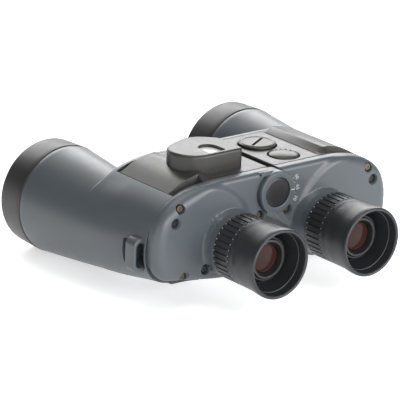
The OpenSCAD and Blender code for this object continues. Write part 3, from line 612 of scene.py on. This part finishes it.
def hood(side_name):
    x = SIDES[side_name] * OBJ_X
    inner = HOOD_R - 3.1
    ridges = []
    for k in range(9):
        y = Y_FRONT - 3.0 - 1.4 * k
        ridges += [(inner, y), (inner + 0.5, y - 0.7)]
    profile = [(25.6, Y_HOOD - 4), (26.9, Y_HOOD - 4), (26.9, Y_HOOD), (HOOD_R - 0.5, Y_HOOD + 0.02),
               (HOOD_R, Y_HOOD + 0.6), (HOOD_R, Y_HOOD + 3), (HOOD_R - 0.6, Y_FRONT - 1.4, 0.8),
               (HOOD_R - 1.6, Y_FRONT, 0.8), (inner + 0.7, Y_FRONT, 0.6), (inner, Y_FRONT - 1.2)]
    return turned(side_name + "_hood_sleeve", x, AXIS_Z, profile + ridges + [
        (inner, Y_HOOD + 2.4), (25.6, Y_HOOD + 1)], HOOD, 0.15, 160)


def objective(side_name):
    x = SIDES[side_name] * OBJ_X
    low, high = box_mm(side_name + "_objective_lens")
    r, back, front = (high[0] - low[0]) / 2, low[1], high[1]
    dome = [(r * math.sin(a), front - 2.4 * (1 - math.cos(a))) for a in np.radians(np.arange(78, -1, -6))]
    return turned(side_name + "_objective", x, AXIS_Z,
                  [(0.01, back + 0.8), (r, back)] + dome[:-1] + [(0.01, front)], LENS, 0.0, 128)


hoods = {s: hood(s) for s in SIDES}
objectives = {s: objective(s) for s in SIDES}

# %% [markdown]
# ## Repeats
# Grip pads, knurls, screws and scale marks are Geometry Nodes trees with named
# inputs. Each result becomes a plain mesh.

# %% Trees for repeats


def new_tree(name, inputs):
    tree = bpy.data.node_groups.new(name, "GeometryNodeTree")
    ids = {}
    for label, kind in inputs:
        ids[label] = tree.interface.new_socket(label, in_out="INPUT", socket_type=kind).identifier
    tree.interface.new_socket("Geometry", in_out="OUTPUT", socket_type="NodeSocketGeometry")
    return tree, ids


def finish_tree(tree, points, angle):
    """Instances the item on points, turned by angle about Z, then realizes it."""
    nodes, links = tree.nodes, tree.links
    source = nodes["Group Input"]
    item = nodes.new("GeometryNodeObjectInfo")
    links.new(source.outputs["Item"], item.inputs["Object"])
    put = nodes.new("GeometryNodeInstanceOnPoints")
    links.new(points, put.inputs["Points"])
    links.new(item.outputs["Geometry"], put.inputs["Instance"])
    if angle is not None:
        spin = nodes.new("ShaderNodeCombineXYZ")
        links.new(angle, spin.inputs["Z"])
        links.new(spin.outputs["Vector"], put.inputs["Rotation"])
    real = nodes.new("GeometryNodeRealizeInstances")
    links.new(put.outputs["Instances"], real.inputs["Geometry"])
    paint = nodes.new("GeometryNodeSetMaterial")
    links.new(real.outputs["Geometry"], paint.inputs["Geometry"])
    links.new(source.outputs["Finish"], paint.inputs["Material"])
    out = nodes.new("NodeGroupOutput")
    links.new(paint.outputs["Geometry"], out.inputs["Geometry"])


def ring_tree():
    tree, ids = new_tree("ring_of_items", [
        ("Item", "NodeSocketObject"), ("Finish", "NodeSocketMaterial"), ("Count", "NodeSocketInt"),
        ("Radius", "NodeSocketFloat"), ("Start", "NodeSocketFloat"), ("Step", "NodeSocketFloat")])
    nodes, links = tree.nodes, tree.links
    source = nodes.new("NodeGroupInput")
    line = nodes.new("GeometryNodeMeshLine")
    links.new(source.outputs["Count"], line.inputs["Count"])
    index = nodes.new("GeometryNodeInputIndex")
    angle = nodes.new("ShaderNodeMath")
    angle.operation = "MULTIPLY_ADD"
    links.new(index.outputs["Index"], angle.inputs[0])
    links.new(source.outputs["Step"], angle.inputs[1])
    links.new(source.outputs["Start"], angle.inputs[2])
    place = nodes.new("ShaderNodeCombineXYZ")
    for axis, operation in (("X", "COSINE"), ("Y", "SINE")):
        wave = nodes.new("ShaderNodeMath")
        wave.operation = operation
        links.new(angle.outputs[0], wave.inputs[0])
        scaled = nodes.new("ShaderNodeMath")
        scaled.operation = "MULTIPLY"
        links.new(wave.outputs[0], scaled.inputs[0])
        links.new(source.outputs["Radius"], scaled.inputs[1])
        links.new(scaled.outputs[0], place.inputs[axis])
    move = nodes.new("GeometryNodeSetPosition")
    links.new(line.outputs["Mesh"], move.inputs["Geometry"])
    links.new(place.outputs["Vector"], move.inputs["Position"])
    finish_tree(tree, move.outputs["Geometry"], angle.outputs[0])
    return tree, ids


def spots_tree():
    tree, ids = new_tree("items_on_spots", [
        ("Spots", "NodeSocketGeometry"), ("Item", "NodeSocketObject"), ("Finish", "NodeSocketMaterial")])
    source = tree.nodes.new("NodeGroupInput")
    finish_tree(tree, source.outputs["Spots"], None)
    return tree, ids


RING, RING_IDS = ring_tree()
SPOTS, SPOTS_IDS = spots_tree()


def grown(name, carrier, tree, ids, values, to_y=None):
    """Runs a tree on a carrier and keeps its result as a plain mesh."""
    obj = bpy.data.objects.new(name, carrier)
    bpy.context.scene.collection.objects.link(obj)
    run = obj.modifiers.new(tree.name, "NODES")
    run.node_group = tree
    for label, value in values.items():
        run[ids[label]] = value
    bpy.context.view_layer.update()
    mesh = bpy.data.meshes.new_from_object(obj.evaluated_get(bpy.context.evaluated_depsgraph_get()))
    obj.modifiers.clear()
    mesh.materials.clear()
    mesh.materials.append(values["Finish"])
    if to_y:
        x, y, z = to_y
        for v in mesh.vertices:
            v.co = (v.co.x + x * MM, y * MM - v.co.z, v.co.y + z * MM)
    mesh.set_sharp_from_angle(angle=math.radians(35))
    final = bpy.data.objects.new(name, mesh)
    bpy.data.objects.remove(obj)
    final.name = name
    bpy.context.scene.collection.objects.link(final)
    bpy.data.objects.remove(values["Item"])
    return final


def ring(name, item, count, radius, finish, start=0.0, step=None, to_y=None):
    values = {"Item": item, "Finish": finish, "Count": count, "Radius": radius * MM,
              "Start": start, "Step": step if step is not None else 2 * math.pi / count}
    return grown(name, bpy.data.meshes.new(name), RING, RING_IDS, values, to_y)


def spots(name, item, places, finish):
    carrier = bpy.data.meshes.new(name)
    carrier.from_pydata([tuple(c * MM for c in p) for p in places], [], [])
    return grown(name, carrier, SPOTS, SPOTS_IDS, {"Item": item, "Finish": finish})


# %% [markdown]
# ## Eyepieces
# Each focuses on its own: a ribbed rubber ring turns with the flared eyecup
# while the lens cell inside slides. The flange belongs to the casting.

# %% Make the eyepieces
GRIP_R = (ring_high[0] - ring_low[0]) / 2
Y_GRIP = ring_high[1]
Y_FLANGE = Y_GRIP + 0.4
PADS = 36
BASE_R = GRIP_R - 0.55


def eyepiece(side_name):
    x = SIDES[side_name] * EYE_X
    made = {}
    made["flange"] = turned(side_name + "_flange", x, EYE_Z, [
        (14.2, Y_FLANGE), (17.2, Y_FLANGE), (18.0, Y_FLANGE + 0.7), (18.0, Y_FACE + 3), (14.2, Y_FACE + 3)],
        PAINT, 0.2)
    made["grip"] = turned(side_name + "_grip", x, EYE_Z, [
        (14.2, Y_GRIP), (BASE_R - 0.6, Y_GRIP), (BASE_R, Y_GRIP - 0.5), (BASE_R, Y_CUP + 4.1),
        (GRIP_R - 0.02, Y_CUP + 3.7), (GRIP_R, Y_CUP + 0.02, 0.04), (14.2, Y_CUP + 0.02)], RUBBER, 0.2)
    wide = math.pi * BASE_R / PADS - 0.42
    rod = slab("pad", [(-0.6, -wide), (0.55, -wide), (0.55, wide), (-0.6, wide)],
               0, Y_GRIP - Y_CUP - 4.2, RUBBER, edge=0.25)
    made["pads"] = ring(side_name + "_grip_pads", rod, PADS, BASE_R, RUBBER,
                        to_y=(x, Y_GRIP - 0.3, EYE_Z))
    # The small grey-white bars at both ends of each groove are painted highlights. They stand in for light caught
    # on the grooves' end walls.
    dot = slab("dot", [(-0.4, -0.26), (0.28, -0.26), (0.28, 0.26), (-0.4, 0.26)], 0, 0.5, PRINT_AND_HIGHLIGHT, edge=0.1)
    made["ends"] = ring(side_name + "_groove_ends", dot, PADS, BASE_R + 0.1, PRINT_AND_HIGHLIGHT,
                        start=math.pi / PADS, to_y=(x, Y_CUP + 4.6, EYE_Z))
    dot = slab("dot", [(-0.4, -0.26), (0.28, -0.26), (0.28, 0.26), (-0.4, 0.26)], 0, 0.4, PRINT_AND_HIGHLIGHT, edge=0.1)
    made["starts"] = ring(side_name + "_groove_starts", dot, PADS, BASE_R + 0.1, PRINT_AND_HIGHLIGHT,
                          start=math.pi / PADS, to_y=(x, Y_GRIP - 0.5, EYE_Z))
    neck, bore = 14.4, RIM_R - 1.8
    made["cup"] = turned(side_name + "_cup", x, EYE_Z, [
        (neck, Y_CUP), (GRIP_R, Y_CUP, 0.04), (GRIP_R + 0.12, Y_CUP - 8, 2),
        (RIM_R - 0.15, Y_RIM + 4.2, 1.5), (RIM_R, Y_RIM + 2.4, 0.8), (RIM_R - 0.25, Y_RIM + 0.5, 0.5),
        (RIM_R - 1.0, Y_RIM, 0.4), (RIM_R - 1.3, Y_RIM + 0.35, 0.2), (bore, Y_RIM + 0.3, 0.2),
        (bore - 0.35, Y_RIM + 0.9, 0.3), (bore - 0.8, Y_RIM + 5.4, 0.5), (bore - 1.15, Y_RIM + 5.5, 0.1),
        (bore - 1.3, Y_RIM + 6.4, 0.2), (neck + 0.5, Y_CUP - 3.0, 0.8), (neck - 0.2, Y_CUP - 2.4)],
        RUBBER, 0.2, 160)
    low, high = box_mm(side_name + "_ocular_cell")
    r, y0 = (high[0] - low[0]) / 2, low[1]
    lens_r = 8.4
    made["cell"] = turned(side_name + "_cell", x, EYE_Z, [
        (lens_r, y0 + 3.4), (lens_r + 0.2, y0 + 2.4), (lens_r + 1.0, y0 + 0.5), (lens_r + 1.4, y0),
        (lens_r + 2.6, y0), (lens_r + 2.8, y0 + 1.2), (lens_r + 3.2, y0 + 1.5), (r - 0.3, y0 + 1.4),
        (r, y0 + 1.8), (r, high[1]), (lens_r + 0.8, high[1]), (lens_r, y0 + 8)],
        BLACK_METAL, 0.15)
    crown = [(lens_r * math.sin(a), y0 + 3.4 - 1.2 * math.cos(a)) for a in np.radians(np.arange(0, 91, 7.5))]
    made["lens"] = turned(side_name + "_ocular_lens", x, EYE_Z,
                          [(0.01, crown[0][1])] + crown[1:] + [(lens_r, y0 + 6), (0.01, y0 + 6)],
                          EYE_GLASS, 0.0)
    return made


eyepieces = {s: eyepiece(s) for s in SIDES}

# %% [markdown]
# ## Decks
# Moulded plates on top of the castings. The flat middle rises to a crest and
# then falls to the side, so the profile is drawn once and run along Y.

# %% Make the deck plates


def upright(name, x, y, profile, finish, radius=0.3, segments=96):
    """A piece turned about a vertical axis, from [radius, z] corners."""
    made = turned(name, 0, 0, [(q[0], -q[1], *q[2:]) for q in profile], finish, radius, segments)
    for v in made.data.vertices:
        v.co = (v.co.x + x * MM, v.co.z + y * MM, -v.co.y)
    return made


def deck_plate(side_name):
    side = SIDES[side_name]
    gap = LEFT_GAP if side < 0 else RIGHT_GAP
    top = curve_through([
        (gap + 0.5, TOP), (DECK_EDGE - 31, TOP), (DECK_EDGE - 29, TOP + 0.25),
        (DECK_EDGE - 24.6, TOP + 2.35), (DECK_EDGE - 22.6, TOP + 2.75), (DECK_EDGE - 17, TOP + 1.9),
        (DECK_EDGE - 9, TOP - 0.4), (DECK_EDGE - 0.2, TOP - 5.0)], 6)
    under = [(x, h) for x, h in skin_curve(side) if x <= DECK_EDGE + 0.01]
    profile = [(gap, TOP - 0.5)] + [tuple(p) for p in top]
    profile += [(x, h - 1.9) for x, h in reversed(under[1:])] + [(gap, TOP - 2)]
    skin_x, skin_h = np.array(under).T

    def place(u, v, t):
        """The crest folds down to the skin over the last few millimetres at each end."""
        base = float(np.interp(u, skin_x, skin_h)) + 0.1
        fold = min(max((t - Y_SEAM - 0.3) / 4.2, 0), max((Y_DECK - t) / 3.0, 0), 1)
        return side * u, t, AXIS_Z + (base + (v - base) * fold if v > base else v)

    plate = slab(side_name + "_deck", profile, Y_SEAM + 0.25, Y_DECK, DECK, edge=0.35, place=place,
                 cuts=(Y_SEAM + 4.3, Y_SEAM + 4.7, Y_DECK - 3.2, Y_DECK - 2.8))
    tools = []
    if side > 0:
        for (x, y), r in ((CAP, 11.0), (BUTTON, 9.1)):
            tools.append(upright("way", x, y, [(0.01, DECK_Z - 8), (r, DECK_Z - 8), (r, DECK_Z - 0.35),
                                               (r + 0.35, DECK_Z + 0.01), (r + 0.35, DECK_Z + 8),
                                               (0.01, DECK_Z + 8)], DECK, 0))
    return cut(plate, tools) if tools else plate


decks = {s: deck_plate(s) for s in SIDES}
print("deck faces:", len(decks["right"].data.polygons))

# %% [markdown]
# ## Compass
# A hood on the left deck, its plan the hull of four circles. Its rim is well
# rounded. A keyhole window shows the white diffuser below.

# %% Make the compass housing
COMPASS_TOP = box_mm("compass_housing")[1][2]


def hull_of(circles):
    """The outline of a band stretched round several circles."""
    points = np.array([(x + r * math.cos(a), y + r * math.sin(a)) for x, y, r in circles
                       for a in np.linspace(0, 2 * math.pi, 64, endpoint=False)])
    order = np.lexsort((points[:, 1], points[:, 0]))

    def chain(indices):
        out = []
        for i in indices:
            while len(out) > 1:
                a, b = out[-1] - out[-2], points[i] - out[-1]
                if a[0] * b[1] - a[1] * b[0] > 1e-9:
                    break
                out.pop()
            out.append(points[i])
        return out[:-1]

    return chain(order) + chain(order[::-1])


shell_plan = hull_of([(-15, Y_SEAM + 10.5, 3.4), (-36, Y_SEAM + 21.6, 14.4),
                      (-28, Y_SEAM + 23.6, 15.4), (-17, Y_SEAM + 27, 5.4)])
window_plan = hull_of([(-28.2, Y_SEAM + 18, 5.8), (-23.4, Y_SEAM + 11, 1.2), (-32.6, Y_SEAM + 11, 1.2)])
compass = slab("compass_shell", shell_plan, DECK_Z - 1, COMPASS_TOP, DECK, edge=1.7, bottom_edge=0.1, steps=6)
compass = cut(compass, [
    slab("hollow", shrunk(shell_plan, 2.2), DECK_Z - 5, COMPASS_TOP - 2.2, DECK, edge=0.1),
    slab("window", window_plan, COMPASS_TOP - 4, COMPASS_TOP + 2, DECK, edge=0.1)])
diffuser = slab("compass_diffuser", shrunk(window_plan, -0.8), COMPASS_TOP - 3.4, COMPASS_TOP - 1.9,
                WHITE, edge=0.1)

# %% [markdown]
# ## Light controls
# The battery cap turns with a coin. The domed button beside it lights the
# compass, with four dots to find it by touch.

# %% Make the cap and the button
x, y = CAP
cap = upright("cap", x, y, [
    (0.01, DECK_Z - 3.6), (7, DECK_Z - 3.6), (7, DECK_Z - 1.7), (10.2, DECK_Z - 1.7), (10.3, DECK_Z + 0.7),
    (10.55, DECK_Z + 0.75), (10.4, DECK_Z + 1.2), (9.2, DECK_Z + 1.9), (8.5, DECK_Z + 1.9),
    (8.2, DECK_Z + 1.65), (0.01, DECK_Z + 1.65)], DECK, 0.15, 128)
turn = math.radians(30)
slot = [(u * math.cos(turn) - v * math.sin(turn) + x, u * math.sin(turn) + v * math.cos(turn) + y)
        for u, v in softened([(-7.4, -0.9), (7.4, -0.9), (7.4, 0.9), (-7.4, 0.9)], 0.5)]
cap = cut(cap, [slab("slot", slot, DECK_Z + 0.4, DECK_Z + 4, DECK, edge=0.1)])
tooth = slab("tooth", [(-0.3, -0.2), (0.25, -0.2), (0.25, 0.2), (-0.3, 0.2)],
             DECK_Z - 0.8, DECK_Z + 0.7, DECK, edge=0.1)
teeth = ring("cap_teeth", tooth, 60, 10.3, DECK)
for v in teeth.data.vertices:
    v.co.x += x * MM
    v.co.y += y * MM
x, y = BUTTON
dome = [(8.4 * math.sin(a), DECK_Z - 0.25 + 2.05 * math.cos(a)) for a in np.radians(np.arange(84, 0, -6))]
spring_low, spring_high = box_mm("button_spring")
way_r, way_z = (spring_high[0] - spring_low[0]) / 2 + 0.4, min(spring_high[2] + 1.3, DECK_Z + 1.2)
print(f"spring way {way_r:.1f} mm in radius, {way_z - DECK_Z:.2f} mm above the deck")
button = upright("button", x, y, [(0.01, way_z), (way_r, way_z), (way_r, DECK_Z - 0.6), (8.4, DECK_Z - 0.6)]
                 + dome + [(0.01, DECK_Z + 1.8)], DECK, 0.0)
dot = slab("dot", [(0.45 * math.cos(a), 0.45 * math.sin(a)) for a in np.radians(np.arange(0, 360, 20))],
           DECK_Z + 0.6, DECK_Z + 1.75, DECK, edge=0.25)
dots = ring("button_dots", dot, 4, 5.4, DECK, start=math.radians(5), step=math.radians(32))
for v in dots.data.vertices:
    v.co.x += x * MM
    v.co.y += y * MM

# %% [markdown]
# ## Strap lugs and screws
# A lug is a bridge over a pocket in the casting. Three brass screws hold
# each cover, and two black set screws adjust the prisms.

# %% Make the lugs and screws
for side_name, side in SIDES.items():
    z0, z1, xo = lug_low[2], lug_high[2], lug_high[0]
    lug = slab(side_name + "_lug", softened([
        (xo - 9, z0), (xo - 2.6, z0), (xo, z0 + 2.8), (xo, z1 - 2.8), (xo - 2.6, z1), (xo - 9, z1),
        (xo - 9, z1 - 2.8), (xo - 3.6, z1 - 2.8), (xo - 2.1, z1 - 4.4), (xo - 2.1, z0 + 4.4),
        (xo - 3.6, z0 + 2.8), (xo - 9, z0 + 2.8)], 1.5), lug_low[1], lug_high[1], PAINT, edge=0.8,
        place=lambda u, v, t: (side * u, t, v))
    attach(lug, side_name + "_half")
    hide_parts(side_name + "_strap_lug")
    for group, finish, chosen in (("cover_screws", BRASS, SCREWS[:3]),
                                  ("prism_screws", BLACK_METAL, SCREWS[3:])):
        head = turned("head", 0, 0, [(0.01, 0.5), (0.7, 0.5), (0.8, 0.0), (1.7, 0.0), (2.1, 0.4),
                                     (2.1, 2.2), (0.01, 2.2)], finish, 0.12, 40)
        screws = spots(side_name + "_" + group + "_heads", head, [
            (side * x, Y_FACE + lower + 1.3, AXIS_Z + h) for x, h, lower in chosen], finish)
        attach(screws, side_name + "_half")
        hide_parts(side_name + "_" + group)

# %% [markdown]
# ## Scale by the hinge
# Three plain numbers and their ticks give the eye spacing in millimetres.

# %% Make the scale
tick = slab("tick", [(-0.8, -0.12), (0.8, -0.12), (0.8, 0.12), (-0.8, 0.12)], 0, 0.12, PRINT_AND_HIGHLIGHT, edge=0.03)
scale = ring("scale_ticks", tick, 5, 14.0, PRINT_AND_HIGHLIGHT, start=math.radians(-26), step=math.radians(12),
             to_y=(0, Y_FACE + STEP + 0.25, HINGE_Z))
numbers = []
for text, angle in (("60", 20), ("65", -2), ("70", -24)):
    curve = bpy.data.curves.new("number", "FONT")
    curve.body = text
    curve.size = 3.1 * MM
    curve.extrude = 0.12 * MM
    curve.align_x = "CENTER"
    obj = bpy.data.objects.new("number", curve)
    bpy.context.scene.collection.objects.link(obj)
    bpy.context.view_layer.update()
    mesh = bpy.data.meshes.new_from_object(obj.evaluated_get(bpy.context.evaluated_depsgraph_get()))
    bpy.data.objects.remove(obj)
    a = math.radians(angle)
    for v in mesh.vertices:
        u, w = v.co.y / MM + 15.4, -v.co.x / MM
        v.co = ((u * math.cos(a) - w * math.sin(a)) * MM, (Y_FACE + STEP + 0.2) * MM - v.co.z,
                HINGE_Z * MM + (u * math.sin(a) + w * math.cos(a)) * MM)
    mesh.materials.append(PRINT_AND_HIGHLIGHT)
    number = bpy.data.objects.new("scale_number_" + text, mesh)
    bpy.context.scene.collection.objects.link(number)
    numbers.append(number)

# %% [markdown]
# ## Bodies
# Each piece is hung on an empty for the body it belongs to, and the imported
# parts it stands for are hidden.

# %% Put the pieces on their bodies


def join_frame(obj, body, nodes):
    """Hangs a piece on its body's empty and hides the imported parts it stands for."""
    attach(obj, body)
    if nodes:
        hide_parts(*nodes)


for s in SIDES:
    half = s + "_half"
    join_frame(castings[s], half, [s + "_body"])
    join_frame(covers[s], half, [s + "_rear_cover"])
    join_frame(decks[s], half, [s + "_deck_plate"])
    join_frame(hoods[s], half, [s + "_hood"])
    join_frame(objectives[s], half, [s + "_objective_lens"])
    e = eyepieces[s]
    join_frame(e["flange"], half, [s + "_eyepiece_tube"])
    join_frame(e["grip"], s + "_focus", [s + "_focus_ring"])
    join_frame(e["pads"], s + "_focus", [])
    join_frame(e["starts"], s + "_focus", [])
    join_frame(e["ends"], s + "_focus", [])
    join_frame(e["cup"], s + "_focus", [s + "_eyecup"])
    join_frame(e["cell"], s + "_ocular", [s + "_ocular_cell"])
    join_frame(e["lens"], s + "_ocular", [s + "_eye_lens"])
for name, obj in knuckles.items():
    join_frame(obj, name.split("_")[0] + "_half", [])
join_frame(collar, "left_half", [])
join_frame(fairing, "left_half", [])
join_frame(index_mark, "left_half", [])
join_frame(disc, "left_half", ["hinge_end_disc"])
join_frame(scale, "right_half", [])
for number in numbers:
    join_frame(number, "right_half", [])
join_frame(compass, "left_half", ["compass_housing"])
join_frame(diffuser, "left_half", ["compass_window"])
join_frame(cap, "battery_cap", ["battery_cap"])
join_frame(teeth, "battery_cap", [])
join_frame(button, "light_button", ["light_button"])
join_frame(dots, "light_button", [])

# %% [markdown]
# ## Stage, light and camera
# A plain pale floor under dim even light. One large lamp behind brings out the
# decks, two in front reach into the eyecups, and two small ones fill in from
# above and from the side. The camera looks down at the eyepieces.

# %% Stage, light and camera
scene = bpy.context.scene
scene.view_settings.view_transform = "Standard"
floor_mesh = bpy.data.meshes.new("floor")
floor_mesh.from_pydata([(-6, -6, 0), (6, -6, 0), (6, 6, 0), (-6, 6, 0)], [], [(0, 1, 2, 3)])
floor_paint = finish_of("floor_white", (0.9, 0.9, 0.9), 0.9, tint=0.0)
floor_shader = floor_paint.node_tree.nodes["Principled BSDF"]
floor_shader.inputs["Emission Color"].default_value = (1, 1, 1, 1)
floor_shader.inputs["Emission Strength"].default_value = 0.55
floor_mesh.materials.append(floor_paint)
floor = bpy.data.objects.new("floor", floor_mesh)
scene.collection.objects.link(floor)
world = bpy.data.worlds.new("studio")
world.use_nodes = True
world.node_tree.nodes["Background"].inputs["Color"].default_value = (1, 1, 1, 1)
world.node_tree.nodes["Background"].inputs["Strength"].default_value = 0.10
scene.world = world


AIM = Vector((0, 0, 0.03))


def lamp(name, at, size, power):
    data = bpy.data.lights.new(name, "AREA")
    data.shape = "RECTANGLE"
    data.size, data.size_y = size
    data.energy = power
    obj = bpy.data.objects.new(name, data)
    obj.location = at
    obj.rotation_euler = (AIM - Vector(at)).to_track_quat("-Z", "Y").to_euler()
    scene.collection.objects.link(obj)


lamp("back_lamp", (0.9, 1.5, 0.95), (2.2, 1.0), 42)
lamp("top_lamp", (-0.1, 0.1, 1.6), (1.0, 1.0), 10)
lamp("eye_lamp", (0.9, -1.9, 0.9), (1.4, 1.2), 46)
lamp("strip_lamp", (-2.0, -0.5, 0.3), (0.9, 0.35), 5)
lamp("fill_lamp", (-0.7, -2.2, 0.8), (1.2, 1.0), 34)
camera = bpy.data.objects.new("camera", bpy.data.cameras.new("camera"))
camera.data.lens = 301.1
camera.data.sensor_width = 36
camera.data.clip_start = 0.05
camera.location = (-1.13039, -1.35471, 0.64418)
back = Vector((0.59931, 0.73143, -0.32532)).normalized() * -1
up = Vector((0.17585, 0.27617, 0.94488))
side_way = up.cross(back).normalized()
up = back.cross(side_way)
camera.matrix_world = Matrix((
    (side_way.x, up.x, back.x, camera.location.x), (side_way.y, up.y, back.y, camera.location.y),
    (side_way.z, up.z, back.z, camera.location.z), (0, 0, 0, 1)))
scene.collection.objects.link(camera)
scene.camera = camera
